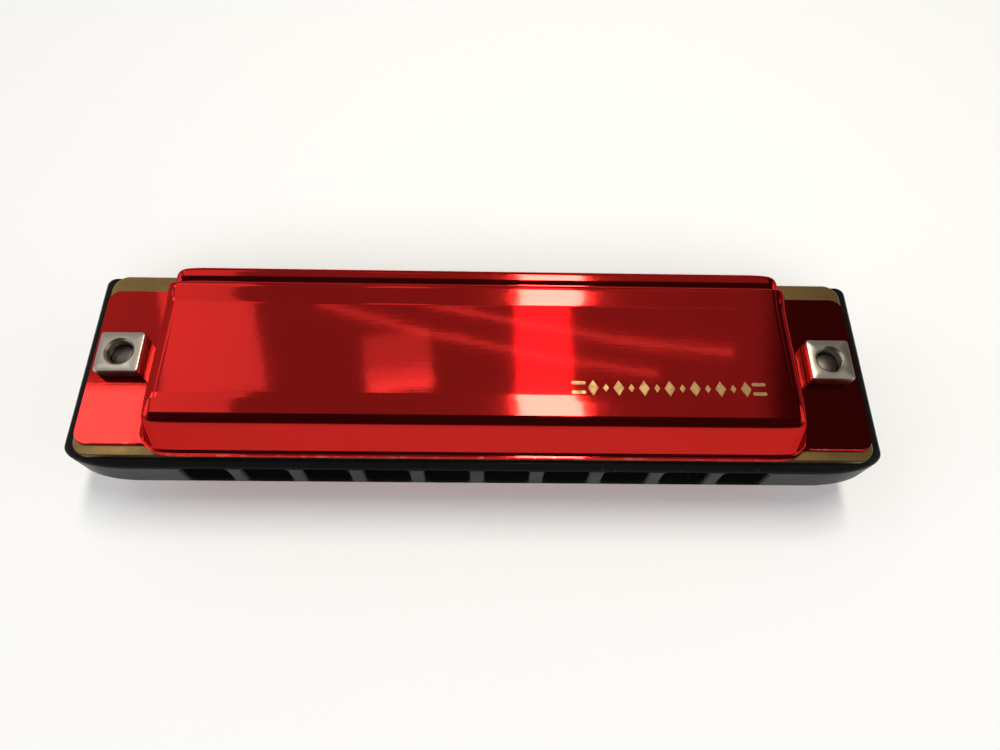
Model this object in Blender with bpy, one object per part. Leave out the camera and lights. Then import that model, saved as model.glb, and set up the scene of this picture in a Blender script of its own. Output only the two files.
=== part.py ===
"""Ten-hole diatonic harmonica: plastic comb, two brass reed plates with twenty
reeds, two stamped covers, and the bolts, square nuts and nails that hold them.

Metres, +Z up.  X runs along the instrument, the mouth side faces -Y, and the
origin is under the middle of it, on the plane its lower cover rests on.
Hole 1 (the lowest notes) is at +X.
"""

import math

import bmesh
import bpy
import numpy as np
from mathutils import Matrix, Vector

for old in list(bpy.data.objects):
    bpy.data.objects.remove(old, do_unlink=True)

MM = 0.001

# ---- driving dimensions, millimetres ----
HEIGHT = 20.0
FIT_GAP = 0.05                  # air between two pieces that lie together

COMB_LENGTH = 102.0
COMB_DEPTH = 27.0
COMB_BOTTOM = 6.8
COMB_TOP = 13.2
COMB_CORNER_X = 8.0             # the front corners are quarter ellipses
COMB_CORNER_Y = 2.8
COMB_BACK_CORNER = 1.0
COMB_LIP_ROUND = 1.0            # rounding of the edges the lips slide on
COMB_BACK_ROUND = 0.3

HOLES = 10
HOLE_PITCH = 7.5
HOLE_WIDTH = 5.5
HOLE_BOTTOM = 7.75
HOLE_TOP = 12.25
CHAMBER_FRONT = -11.0
CHAMBER_BACK_LONG = 9.8         # end of chamber 1
CHAMBER_BACK_SHORT = 4.8        # end of chamber 10

PLATE_LENGTH = 98.4
PLATE_FRONT = -12.4
PLATE_BACK = 13.0
PLATE_THICK = 0.95
PLATE_CORNER = 2.0

REED_LONG = 15.2
REED_SHORT = 9.5
REED_WIDTH = 2.2
REED_THICK = 0.22
REED_SIDE_AIR = 0.05            # between the reed and each side of its slot
REED_TIP_AIR = 0.10
DRAW_ROOT_Y = -7.2              # draw reeds point backwards from here
BLOW_TIP_Y = -9.5               # blow reeds point forwards and end here

PAD_WIDTH = 2.9
PAD_LENGTH = 3.4
RIVET_SHANK = 0.55
RIVET_HEAD = 0.78
RIVET_HEAD_RISE = 0.35
RIVET_TAIL_DROP = 0.20
RIVET_HOLE = 0.60
RIVET_FROM_ROOT = 1.9

COVER_LENGTH = 98.0
COVER_SHEET = 0.45
FLANGE_FRONT = -11.0
FLANGE_BACK = 10.4
FLANGE_CORNER = 1.5

BOLT_X = 45.0
BOLT_Y = 0.5
BOLT_RADIUS = 1.5
BOLT_HOLE = 1.6
BOLT_HEAD_RADIUS = 2.75
BOLT_HEAD_RISE = 1.9
BOLT_END_BELOW_NUT = 1.2
NUT_SIDE = 5.5
NUT_THICK = 1.8
NUT_BORE = 1.56
NUT_CHAMFER = 0.25

NAIL_RADIUS = 0.45
NAIL_HOLE = 0.50
NAIL_HEAD = 0.85
NAIL_HEAD_RISE = 0.30
NAIL_DEPTH = 2.2                # how far a nail goes into the comb
NAIL_PLACES = ((-30.0, 11.6), (0.0, 11.6), (30.0, 11.6), (-22.5, -10.4), (22.5, -10.4))

# Section of the stamped cover as (y, z): flat lip on the plate, front slope,
# front ridge, wide panel, rear ridge, crease, rim rolled over at the back.
COVER_SECTION = (
    (-12.45, 14.70), (-12.20, 14.71), (-11.98, 14.84), (-11.80, 15.10),
    (-10.35, 18.25), (-10.12, 18.70), (-9.80, 19.16), (-9.50, 19.47),
    (-9.20, 19.66), (-8.60, 19.79), (-7.80, 19.92), (-7.20, 20.00),
    (-6.50, 20.00), (6.00, 19.60), (6.50, 19.66), (7.50, 19.88),
    (8.15, 20.00), (8.60, 20.00), (8.90, 19.74), (9.18, 19.10),
    (9.45, 18.30), (9.72, 17.80), (10.10, 17.70), (10.75, 18.00),
    (11.25, 18.14), (11.65, 18.20), (12.03, 18.05), (12.27, 17.68),
    (12.25, 17.30),
)
FRONT_RIDGE = 8                 # index of the point in front of the front ridge
REAR_RIDGE = 17                 # index of the rear ridge's crest

# How the cover closes at each end: distance along x, share of the full height
# and share of the full depth, from the long straight part to the flange.
COVER_END = (
    (36.00, 1.000, 1.00), (37.60, 1.000, 0.95), (38.50, 0.985, 0.87),
    (39.00, 0.930, 0.76), (39.40, 0.790, 0.60), (39.75, 0.540, 0.42),
    (40.10, 0.240, 0.21), (40.40, 0.060, 0.06), (40.85, 0.000, 0.00),
)

UPPER_PLATE_TOP = COMB_TOP + FIT_GAP + PLATE_THICK
LOWER_PLATE_TOP = COMB_BOTTOM - FIT_GAP
FLANGE_BOTTOM = UPPER_PLATE_TOP + FIT_GAP
FLANGE_TOP = FLANGE_BOTTOM + COVER_SHEET


# ---- materials ----
def principled(name, color, roughness, metallic):
    material = bpy.data.materials.new(name)
    material.use_nodes = True
    shader = material.node_tree.nodes["Principled BSDF"]
    shader.inputs["Base Color"].default_value = (*color, 1.0)
    shader.inputs["Roughness"].default_value = roughness
    shader.inputs["Metallic"].default_value = metallic
    return material


RED_PLATING = ((0.45, 0.008, 0.008), 0.10, 1.0)
BLACK_PLASTIC = ((0.010, 0.010, 0.010), 0.25, 0.0)
BRASS_SHEET = ((0.50, 0.34, 0.13), 0.30, 1.0)
REED_BRASS = ((0.62, 0.44, 0.17), 0.22, 1.0)
NICKEL_STEEL = ((0.55, 0.48, 0.40), 0.28, 1.0)


# ---- mesh helpers ----
def closed_mesh(name, verts, faces):
    """Mesh from points in millimetres and faces, with the faces turned outwards."""
    bm = bmesh.new()
    points = [bm.verts.new(Vector(v) * MM) for v in verts]
    for face in faces:
        bm.faces.new([points[i] for i in face])
    bmesh.ops.recalc_face_normals(bm, faces=bm.faces)
    mesh = bpy.data.meshes.new(name)
    bm.to_mesh(mesh)
    bm.free()
    return mesh


def stacked(name, rings):
    """Closed solid through a stack of rings with equal numbers of points."""
    count = len(rings[0])
    verts = [point for ring in rings for point in ring]
    faces = [tuple(reversed(range(count)))]
    for level in range(len(rings) - 1):
        low = level * count
        for i in range(count):
            j = (i + 1) % count
            faces.append((low + i, low + j, low + count + j, low + count + i))
    last = (len(rings) - 1) * count
    faces.append(tuple(range(last, last + count)))
    return closed_mesh(name, verts, faces)


def turned(name, profile, segments, centre=(0.0, 0.0)):
    """Round solid about a vertical line, from (radius, z) points going up."""
    turns = np.linspace(0.0, 2.0 * math.pi, segments, endpoint=False)
    rings = []
    for radius, z in profile:
        ring = [
            (centre[0] + radius * math.cos(a), centre[1] + radius * math.sin(a), z)
            for a in turns
        ]
        rings.append(ring)
    return stacked(name, rings)


def add(name, mesh, look, place=(0.0, 0.0, 0.0), turn=(0.0, 0.0, 0.0), smooth=False):
    """A named object with its own material; place in millimetres, turn in radians."""
    item = bpy.data.objects.new(name, mesh)
    item.location = Vector(place) * MM
    item.rotation_euler = turn
    bpy.context.scene.collection.objects.link(item)
    item.data.materials.clear()
    item.data.materials.append(principled(name + "_look", *look))
    if smooth:
        item.data.shade_smooth()
        item.data.set_sharp_from_angle(angle=math.radians(35.0))
    return item


def cutter(name, mesh):
    item = bpy.data.objects.new(name, mesh)
    bpy.context.scene.collection.objects.link(item)
    item.hide_render = True
    item.display_type = "WIRE"
    return item


def combine(item, tool, operation):
    modifier = item.modifiers.new(operation.title(), "BOOLEAN")
    modifier.operation = operation
    modifier.solver = "EXACT"
    modifier.object = tool


def boxes(name, corners):
    """One mesh of separate boxes, each given by its low and high corner."""
    bm = bmesh.new()
    for low, high in corners:
        low, high = Vector(low), Vector(high)
        size = (high - low) * MM
        place = Matrix.Translation((low + high) * 0.5 * MM)
        bmesh.ops.create_cube(bm, size=1.0, matrix=place @ Matrix.Diagonal((*size, 1.0)))
    mesh = bpy.data.meshes.new(name)
    bm.to_mesh(mesh)
    bm.free()
    return mesh


def drills(name, holes, low, high):
    """One mesh of upright cylinders; each hole is (x, y, radius, segments)."""
    bm = bmesh.new()
    for x, y, radius, segments in holes:
        place = Matrix.Translation(Vector((x, y, 0.5 * (low + high))) * MM)
        bmesh.ops.create_cone(
            bm, cap_ends=True, segments=segments, radius1=radius * MM,
            radius2=radius * MM, depth=(high - low) * MM, matrix=place,
        )
    mesh = bpy.data.meshes.new(name)
    bm.to_mesh(mesh)
    bm.free()
    return mesh


def finished_mesh(item):
    """The object's mesh with its modifiers worked in."""
    graph = bpy.context.evaluated_depsgraph_get()
    return bpy.data.meshes.new_from_object(item.evaluated_get(graph)).copy()


# ---- outlines ----
def corner_arc(cx, cy, rx, ry, start, steps):
    """Quarter ellipse about (cx, cy), turning left from the start angle."""
    angles = np.linspace(start, start + 0.5 * math.pi, steps + 1)
    return [(cx + rx * math.cos(a), cy + ry * math.sin(a)) for a in angles]


def comb_outline(inset):
    """Plan of the comb drawn in by an inset, less at its square back edge."""
    half = 0.5 * COMB_LENGTH - inset
    front = -0.5 * COMB_DEPTH + inset
    back = 0.5 * COMB_DEPTH - inset * COMB_BACK_ROUND / COMB_LIP_ROUND
    rx, ry, rb = COMB_CORNER_X - inset, COMB_CORNER_Y - 0.5 * inset, COMB_BACK_CORNER
    points = corner_arc(half - rx, front + ry, rx, ry, -0.5 * math.pi, 7)
    points += corner_arc(half - rb, back - rb, rb, rb, 0.0, 3)
    points += corner_arc(rb - half, back - rb, rb, rb, 0.5 * math.pi, 3)
    points += corner_arc(rx - half, front + ry, rx, ry, math.pi, 7)
    return points


def plate_outline():
    half, r = 0.5 * PLATE_LENGTH, PLATE_CORNER
    points = corner_arc(half - r, PLATE_FRONT + r, r, r, -0.5 * math.pi, 4)
    points += corner_arc(half - r, PLATE_BACK - r, r, r, 0.0, 4)
    points += corner_arc(r - half, PLATE_BACK - r, r, r, 0.5 * math.pi, 4)
    points += corner_arc(r - half, PLATE_FRONT + r, r, r, math.pi, 4)
    return points


# ---- positions that follow from the hole number ----
def along(number, first, last):
    """Even steps from the value at hole 1 to the value at hole 10."""
    return first + (last - first) * (number - 1) / (HOLES - 1)


def hole_x(number):
    return (0.5 * (HOLES + 1) - number) * HOLE_PITCH


def chamber_back(number):
    return along(number, CHAMBER_BACK_LONG, CHAMBER_BACK_SHORT)


def reed_length(number):
    return REED_LONG * (REED_SHORT / REED_LONG) ** ((number - 1) / (HOLES - 1))


def blow_root_y(number):
    return BLOW_TIP_Y + reed_length(number)


NUMBERS = range(1, HOLES + 1)
BOLT_SPOTS = ((-BOLT_X, BOLT_Y), (BOLT_X, BOLT_Y))


# ---- comb ----
def make_comb():
    rings = []
    for step in range(4):
        angle = math.radians(30.0 * step)
        z = COMB_BOTTOM + COMB_LIP_ROUND * (1.0 - math.cos(angle))
        plan = comb_outline(COMB_LIP_ROUND * (1.0 - math.sin(angle)))
        rings.append([(x, y, z) for x, y in plan])
    middle = COMB_BOTTOM + COMB_TOP
    rings += [[(x, y, middle - z) for x, y, z in ring] for ring in reversed(rings)]
    comb = add("comb", stacked("comb", rings), BLACK_PLASTIC)

    half = 0.5 * HOLE_WIDTH
    chambers = []
    windows = []
    for number in NUMBERS:
        x = hole_x(number)
        back = chamber_back(number)
        chambers.append(
            ((x - half, CHAMBER_FRONT, COMB_BOTTOM - 1), (x + half, back, COMB_TOP + 1))
        )
        windows.append(
            ((x - half, -0.5 * COMB_DEPTH - 1, HOLE_BOTTOM), (x + half, CHAMBER_FRONT + 2, HOLE_TOP))
        )
    combine(comb, cutter("chamber_cut", boxes("chamber_cut", chambers)), "DIFFERENCE")
    combine(comb, cutter("mouth_cut", boxes("mouth_cut", windows)), "DIFFERENCE")

    bolt_holes = [(x, y, BOLT_HOLE, 16) for x, y in BOLT_SPOTS]
    through = drills("comb_bolt_cut", bolt_holes, COMB_BOTTOM - 1, COMB_TOP + 1)
    combine(comb, cutter("comb_bolt_cut", through), "DIFFERENCE")
    nail_holes = [(x, y, NAIL_HOLE, 8) for x, y in NAIL_PLACES]
    depth = NAIL_DEPTH + 0.2
    for label, low, high in (
        ("comb_nail_cut_upper", COMB_TOP - depth, COMB_TOP + 1),
        ("comb_nail_cut_lower", COMB_BOTTOM - 1, COMB_BOTTOM + depth),
    ):
        combine(comb, cutter(label, drills(label, nail_holes, low, high)), "DIFFERENCE")


# ---- reed plates ----
def make_plate(name, top, slots, rivets):
    plan = plate_outline()
    bottom = top - PLATE_THICK
    rings = [[(x, y, bottom) for x, y in plan], [(x, y, top) for x, y in plan]]
    plate = add(name, stacked(name, rings), BRASS_SHEET)

    half = 0.5 * REED_WIDTH + REED_SIDE_AIR
    windows = [
        ((x - half, front, bottom - 1), (x + half, back, top + 1))
        for x, front, back in slots
    ]
    combine(plate, cutter(name + "_slots", boxes(name + "_slots", windows)), "DIFFERENCE")
    holes = [(x, y, BOLT_HOLE, 16) for x, y in BOLT_SPOTS]
    holes += [(x, y, NAIL_HOLE, 8) for x, y in NAIL_PLACES]
    holes += [(x, y, RIVET_HOLE, 8) for x, y in rivets]
    drilled = drills(name + "_holes", holes, bottom - 1, top + 1)
    combine(plate, cutter(name + "_holes", drilled), "DIFFERENCE")


def make_plates():
    draw_slots = []
    draw_rivets = []
    blow_slots = []
    blow_rivets = []
    for number in NUMBERS:
        x = hole_x(number)
        reach = reed_length(number) + REED_TIP_AIR
        root = blow_root_y(number)
        draw_slots.append((x, DRAW_ROOT_Y, DRAW_ROOT_Y + reach))
        draw_rivets.append((x, DRAW_ROOT_Y - RIVET_FROM_ROOT))
        blow_slots.append((x, root - reach, root))
        blow_rivets.append((x, root + RIVET_FROM_ROOT))
    make_plate("draw_reed_plate", UPPER_PLATE_TOP, draw_slots, draw_rivets)
    make_plate("blow_reed_plate", LOWER_PLATE_TOP, blow_slots, blow_rivets)


# ---- reeds: a tongue on its root line, and the riveted pad behind it ----
def tongue_mesh(name, length):
    """Tongue milled thin in its middle and left heavier at root and tip."""
    half = 0.5 * REED_WIDTH
    base = -0.5 * REED_THICK
    rings = []
    for share, thick in ((0.0, 1.0), (0.12, 1.0), (0.40, 0.65), (0.82, 0.65), (1.0, 0.95)):
        y = share * length
        top = base + thick * REED_THICK
        rings.append([(-half, y, base), (half, y, base), (half, y, top), (-half, y, top)])
    return stacked(name, rings)


def pad_mesh(name):
    """Riveted end of a reed, with its root line at y = 0 and its pad behind it."""
    half = 0.5 * PAD_WIDTH
    low = (-half, -FIT_GAP - PAD_LENGTH, 0.0)
    high = (half, -FIT_GAP, REED_THICK)
    pad = cutter(name, boxes(name, [(low, high)]))
    under = -FIT_GAP - PLATE_THICK - FIT_GAP
    head = REED_THICK + RIVET_HEAD_RISE
    profile = (
        (0.7 * RIVET_HEAD, under - RIVET_TAIL_DROP),
        (RIVET_HEAD, under),
        (RIVET_SHANK, under),
        (RIVET_SHANK, 0.5 * REED_THICK),
        (RIVET_HEAD, 0.5 * REED_THICK),
        (0.7 * RIVET_HEAD, head),
    )
    rivet = cutter("rivet_blank", turned("rivet_blank", profile, 8, (0.0, -RIVET_FROM_ROOT)))
    combine(pad, rivet, "UNION")
    bpy.context.view_layer.update()
    mesh = finished_mesh(pad)
    bpy.data.objects.remove(pad, do_unlink=True)
    bpy.data.objects.remove(rivet, do_unlink=True)
    return mesh


def make_reeds():
    pad = pad_mesh("reed_pad")
    lift = FIT_GAP + 0.5 * REED_THICK
    for number in NUMBERS:
        x = hole_x(number)
        tongue = tongue_mesh("tongue", reed_length(number))
        for side, y, floor, turn in (
            ("draw", DRAW_ROOT_Y, UPPER_PLATE_TOP, 0.0),
            ("blow", blow_root_y(number), LOWER_PLATE_TOP, math.pi),
        ):
            facing = (0.0, 0.0, turn)
            add(f"{side}_reed_{number}", tongue.copy(), REED_BRASS, (x, y, floor + lift), facing)
            spot = (x, y, floor + FIT_GAP)
            add(f"{side}_reed_pad_{number}", pad.copy(), REED_BRASS, spot, facing)


# ---- covers ----
def offset_section(section, distance):
    """The same section moved inwards by the sheet's thickness."""
    points = [Vector(p) for p in section]
    moved = []
    for i, point in enumerate(points):
        before = points[i] - points[i - 1] if i else points[1] - points[0]
        after = points[i + 1] - points[i] if i + 1 < len(points) else before
        left = Vector((before.y, -before.x)).normalized()
        right = Vector((after.y, -after.x)).normalized()
        normal = (left + right).normalized()
        moved.append(point + normal * (distance / max(0.6, normal.dot(left))))
    return [tuple(p) for p in moved]


def flange_depths():
    """Where each point of the section ends up on the flat flange, as y values."""
    section = COVER_SECTION
    lip, first = section[0][0], section[FRONT_RIDGE][0]
    last = section[REAR_RIDGE][0]
    runs = [0.0]
    for (y0, z0), (y1, z1) in zip(section[REAR_RIDGE:], section[REAR_RIDGE + 1:]):
        runs.append(runs[-1] + math.hypot(y1 - y0, z1 - z0))
    depths = []
    for i, (y, _) in enumerate(section):
        if i < FRONT_RIDGE:
            share = (y - lip) / (first - lip)
            depths.append(FLANGE_FRONT + share * (first - FLANGE_FRONT))
        elif i <= REAR_RIDGE:
            depths.append(y)
        else:
            share = runs[i - REAR_RIDGE] / runs[-1]
            depths.append(last + share * (FLANGE_BACK - last))
    return depths


def cover_stations():
    """Half of the cover's stations: x outside, x inside, height, depth, corner."""
    stations = []
    for x, height, depth in COVER_END:
        inward = COVER_SHEET if x > COVER_END[0][0] else 0.0
        stations.append((x, x - inward, height, depth, 0.0))
    start = 0.5 * COVER_LENGTH - FLANGE_CORNER
    for step in range(4):
        angle = math.radians(30.0 * step)
        x = start + FLANGE_CORNER * math.sin(angle)
        stations.append((x, x, 0.0, 0.0, FLANGE_CORNER * (1.0 - math.cos(angle))))
    return stations


def cover_mesh(name):
    """One formed sheet: an outer and an inner skin joined along their edges."""
    outer = COVER_SECTION
    inner = offset_section(outer, COVER_SHEET)
    depths = flange_depths()
    half = cover_stations()
    stations = [(-xo, -xi, h, g, c) for xo, xi, h, g, c in reversed(half)] + half
    count = len(outer)
    verts = []
    for skin, flat in ((outer, FLANGE_TOP), (inner, FLANGE_BOTTOM)):
        for x_out, x_in, height, depth, corner in stations:
            x = x_out if skin is outer else x_in
            middle = 0.5 * (FLANGE_FRONT + FLANGE_BACK)
            squeeze = 1.0 - 2.0 * corner / (FLANGE_BACK - FLANGE_FRONT)
            for (y, z), rest in zip(skin, depths):
                rest = middle + (rest - middle) * squeeze
                verts.append((x, rest + depth * (y - rest), flat + height * (z - flat)))
    total = len(stations)
    skin_size = total * count
    faces = []
    for s in range(total - 1):
        for i in range(count - 1):
            a, b = s * count + i, (s + 1) * count + i
            faces.append((a, b, b + 1, a + 1))
            faces.append(tuple(v + skin_size for v in (a, a + 1, b + 1, b)))
        for i in (0, count - 1):
            a, b = s * count + i, (s + 1) * count + i
            faces.append((a, a + skin_size, b + skin_size, b))
    for s in (0, total - 1):
        for i in range(count - 1):
            a = s * count + i
            faces.append((a, a + 1, a + 1 + skin_size, a + skin_size))
    return closed_mesh(name, verts, faces)


def make_covers():
    upper = add("upper_cover", cover_mesh("cover"), RED_PLATING, smooth=True)
    holes = [(x, y, BOLT_HOLE, 16) for x, y in BOLT_SPOTS]
    cut = drills("cover_bolt_cut", holes, FLANGE_BOTTOM - 1, FLANGE_TOP + 1)
    combine(upper, cutter("cover_bolt_cut", cut), "DIFFERENCE")
    bpy.context.view_layer.update()
    shape = finished_mesh(upper)
    add("lower_cover", shape, RED_PLATING, (0.0, 0.0, HEIGHT), (0.0, math.pi, 0.0), smooth=True)


# ---- fasteners ----
def bolt_mesh(name):
    """Cover bolt with a low round head and a cross recess, head downwards."""
    under = HEIGHT - FLANGE_TOP - FIT_GAP
    end = FLANGE_TOP + FIT_GAP + NUT_THICK - BOLT_END_BELOW_NUT
    crown = under - BOLT_HEAD_RISE
    profile = (
        (0.62 * BOLT_HEAD_RADIUS, crown),
        (0.86 * BOLT_HEAD_RADIUS, crown + 0.25),
        (BOLT_HEAD_RADIUS, crown + 0.85),
        (BOLT_HEAD_RADIUS, under),
        (BOLT_RADIUS, under),
        (BOLT_RADIUS, end - 0.3),
        (BOLT_RADIUS - 0.3, end),
    )
    bolt = cutter(name, turned(name, profile, 20))
    for label, half_x, half_y in (("recess_a", 1.35, 0.3), ("recess_b", 0.3, 1.35)):
        low = (-half_x, -half_y, crown - 1.0)
        high = (half_x, half_y, crown + 1.0)
        combine(bolt, cutter(label, boxes(label, [(low, high)])), "DIFFERENCE")
    bpy.context.view_layer.update()
    mesh = finished_mesh(bolt)
    bpy.data.objects.remove(bolt, do_unlink=True)
    return mesh


def nut_mesh(name):
    """Thin square nut with its bore and its four upper edges broken."""
    base = FLANGE_TOP + FIT_GAP
    top = base + NUT_THICK
    rings = []
    for z, half in (
        (base, 0.5 * NUT_SIDE),
        (top - NUT_CHAMFER, 0.5 * NUT_SIDE),
        (top, 0.5 * NUT_SIDE - NUT_CHAMFER),
    ):
        rings.append([(-half, -half, z), (half, -half, z), (half, half, z), (-half, half, z)])
    nut = cutter(name, stacked(name, rings))
    bore = drills("nut_bore", [(0.0, 0.0, NUT_BORE, 20)], base - 1, top + 1)
    combine(nut, cutter("nut_bore", bore), "DIFFERENCE")
    bpy.context.view_layer.update()
    mesh = finished_mesh(nut)
    bpy.data.objects.remove(nut, do_unlink=True)
    return mesh


def nail_mesh(name):
    """Plate nail with a low domed head; z = 0 is the face it is driven into."""
    seat = FIT_GAP
    tip = -FIT_GAP - PLATE_THICK - NAIL_DEPTH
    profile = (
        (0.2 * NAIL_RADIUS, tip),
        (NAIL_RADIUS, tip + 0.6),
        (NAIL_RADIUS, seat),
        (NAIL_HEAD, seat),
        (0.65 * NAIL_HEAD, seat + NAIL_HEAD_RISE),
    )
    return turned(name, profile, 8)


def make_fasteners():
    bolt = bolt_mesh("cover_bolt")
    nut = nut_mesh("cover_nut")
    for side, x in (("left", -BOLT_X), ("right", BOLT_X)):
        place = (x, BOLT_Y, 0.0)
        add(f"cover_bolt_{side}", bolt.copy(), NICKEL_STEEL, place, smooth=True)
        add(f"cover_nut_{side}", nut.copy(), NICKEL_STEEL, place)
    nail = nail_mesh("plate_nail")
    lower_face = LOWER_PLATE_TOP - PLATE_THICK
    for number, (x, y) in enumerate(NAIL_PLACES, start=1):
        upper = (x, y, UPPER_PLATE_TOP)
        lower = (x, y, lower_face)
        add(f"draw_plate_nail_{number}", nail.copy(), REED_BRASS, upper, smooth=True)
        over = (math.pi, 0.0, 0.0)
        add(f"blow_plate_nail_{number}", nail.copy(), REED_BRASS, lower, over, smooth=True)


make_comb()
make_plates()
make_reeds()
make_covers()
make_fasteners()
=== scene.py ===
"""Looks of a ten-hole harmonica: moulded black comb, rolled brass plates with
milled reeds, red mirror-plated covers, nickelled nuts and bolts.

Sizes inside the functions are millimetres; every mesh is written in metres.
"""

import math

import bmesh
import bpy
import numpy as np
from mathutils import Matrix, Vector, noise


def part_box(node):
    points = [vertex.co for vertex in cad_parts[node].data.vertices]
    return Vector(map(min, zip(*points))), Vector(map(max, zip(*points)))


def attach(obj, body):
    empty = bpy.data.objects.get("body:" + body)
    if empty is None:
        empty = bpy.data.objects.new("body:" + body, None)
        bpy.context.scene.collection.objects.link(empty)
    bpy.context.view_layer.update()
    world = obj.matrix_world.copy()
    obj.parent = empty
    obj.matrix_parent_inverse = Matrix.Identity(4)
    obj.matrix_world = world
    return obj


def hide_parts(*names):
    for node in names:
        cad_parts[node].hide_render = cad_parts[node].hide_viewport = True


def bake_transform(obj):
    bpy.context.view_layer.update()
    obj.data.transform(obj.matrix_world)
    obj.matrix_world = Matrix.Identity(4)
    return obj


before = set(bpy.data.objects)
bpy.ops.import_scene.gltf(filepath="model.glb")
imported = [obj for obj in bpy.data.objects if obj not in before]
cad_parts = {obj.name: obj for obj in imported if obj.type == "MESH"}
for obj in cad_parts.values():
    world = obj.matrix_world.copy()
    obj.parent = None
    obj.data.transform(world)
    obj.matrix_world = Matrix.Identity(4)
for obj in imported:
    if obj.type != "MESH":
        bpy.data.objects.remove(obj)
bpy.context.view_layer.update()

MM = 0.001
ROOT = "harmonica"
HOLES = 10
FIT_GAP = 0.05


def low_high(node):
    """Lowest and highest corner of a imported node, in millimetres."""
    low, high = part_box(node)
    return Vector(low) / MM, Vector(high) / MM


COMB_LOW, COMB_HIGH = low_high("comb")
DRAW_PLATE_LOW, DRAW_PLATE_HIGH = low_high("draw_reed_plate")
BLOW_PLATE_LOW, BLOW_PLATE_HIGH = low_high("blow_reed_plate")
COVER_LOW, COVER_HIGH = low_high("upper_cover")
REST_PLANE = low_high("lower_cover")[0].z
NUT_LOW, NUT_HIGH = low_high("cover_nut_right")
BOLT_LOW, BOLT_HIGH = low_high("cover_bolt_right")
BOLT_SPOT = (NUT_LOW + NUT_HIGH) / 2
NAIL_SPOTS = [sum(low_high(f"draw_plate_nail_{n}"), Vector()) / 2 for n in range(1, 6)]


# ---------------------------------------------------------------- finishes
class Finish:
    """A material whose colour, roughness and relief come from nodes."""

    def __init__(self, name, colour, roughness, **sockets):
        self.material = bpy.data.materials.new(name)
        self.material.use_nodes = True
        self.nodes = self.material.node_tree.nodes
        self.links = self.material.node_tree.links
        self.shader = self.nodes["Principled BSDF"]
        self.place = self.node("ShaderNodeTexCoord").outputs["Object"]
        self.set(self.shader, "Base Color", colour)
        self.set(self.shader, "Roughness", roughness)
        for label, value in sockets.items():
            self.set(self.shader, label.replace("_", " "), value)

    def node(self, kind, inputs=None, **settings):
        made = self.nodes.new(kind)
        for label, value in settings.items():
            setattr(made, label, value)
        for label, value in (inputs or {}).items():
            self.set(made, label, value)
        return made

    def set(self, node, label, value):
        socket = node.inputs[label]
        if isinstance(value, bpy.types.NodeSocket):
            self.links.new(value, socket)
        elif isinstance(value, tuple) and len(value) == 3 and socket.type == "RGBA":
            socket.default_value = (*value, 1.0)
        else:
            socket.default_value = value

    def grain(self, scale, detail=3.0, rough=0.55, stretch=(1.0, 1.0, 1.0)):
        """Cloudy noise between 0 and 1, stretched for brushed marks."""
        mapped = self.node("ShaderNodeMapping", {"Vector": self.place, "Scale": stretch})
        made = self.node(
            "ShaderNodeTexNoise",
            {"Vector": mapped.outputs[0], "Scale": scale, "Detail": detail, "Roughness": rough},
        )
        return made.outputs["Fac"]

    def specks(self, scale, size):
        """Small round dots, 1 inside a dot and 0 outside."""
        cells = self.node("ShaderNodeTexVoronoi", {"Vector": self.place, "Scale": scale})
        return self.span(cells.outputs["Distance"], size, 0.4 * size, 0.0, 1.0)

    def span(self, value, low, high, to_low, to_high):
        made = self.node(
            "ShaderNodeMapRange",
            {"Value": value, "From Min": low, "From Max": high, "To Min": to_low, "To Max": to_high},
        )
        return made.outputs["Result"]

    def mix(self, share, first, second):
        made = self.node("ShaderNodeMix", data_type="RGBA")
        for socket, value in ((made.inputs[0], share), (made.inputs[6], first), (made.inputs[7], second)):
            if isinstance(value, bpy.types.NodeSocket):
                self.links.new(value, socket)
            else:
                socket.default_value = (*value, 1.0) if isinstance(value, tuple) else value
        return made.outputs[2]

    def sum(self, first, second, operation="ADD"):
        made = self.node("ShaderNodeMath", {0: first, 1: second}, operation=operation)
        return made.outputs[0]

    def edge(self):
        """How close a point is to a worn edge, from the piece's own attribute."""
        return self.node("ShaderNodeAttribute", attribute_name="edge").outputs["Fac"]

    def relief(self, height, depth, strength=1.0):
        bump = self.node(
            "ShaderNodeBump", {"Height": height, "Strength": strength, "Distance": depth * MM}
        )
        self.set(self.shader, "Normal", bump.outputs[0])


def red_plating():
    """Mirror plating over a red ground, thinner and paler on the sheet's edges."""
    f = Finish("red_plating", (0.5, 0.01, 0.01), 0.1, Metallic=1.0, Coat_Weight=0.16)
    f.set(f.shader, "Specular Tint", (0.6, 0.12, 0.12))
    f.set(f.shader, "Coat Roughness", 0.05)
    cloud = f.grain(60.0, 4.0)
    ground = f.mix(cloud, (0.56, 0.013, 0.010), (0.47, 0.011, 0.008))
    worn = f.sum(f.edge(), f.span(f.grain(900.0, 5.0), 0.45, 0.65, -0.25, 0.25))
    worn = f.span(worn, 0.95, 1.2, 0.0, 0.35)
    f.set(f.shader, "Base Color", f.mix(worn, ground, (0.50, 0.22, 0.18)))
    smear = f.span(f.grain(38.0, 5.0, 0.6, (0.35, 1.0, 1.0)), 0.35, 0.75, 0.05, 0.09)
    f.set(f.shader, "Roughness", f.sum(smear, f.span(worn, 0.0, 1.0, 0.0, 0.2)))
    hair = f.span(f.grain(2600.0, 2.0, 0.5, (0.06, 1.0, 1.0)), 0.3, 0.7, 0.0, 1.0)
    peel = f.grain(420.0, 2.0)
    f.relief(f.sum(peel, f.sum(hair, 0.12, "MULTIPLY")), 0.012, 0.35)
    return f.material


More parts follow.
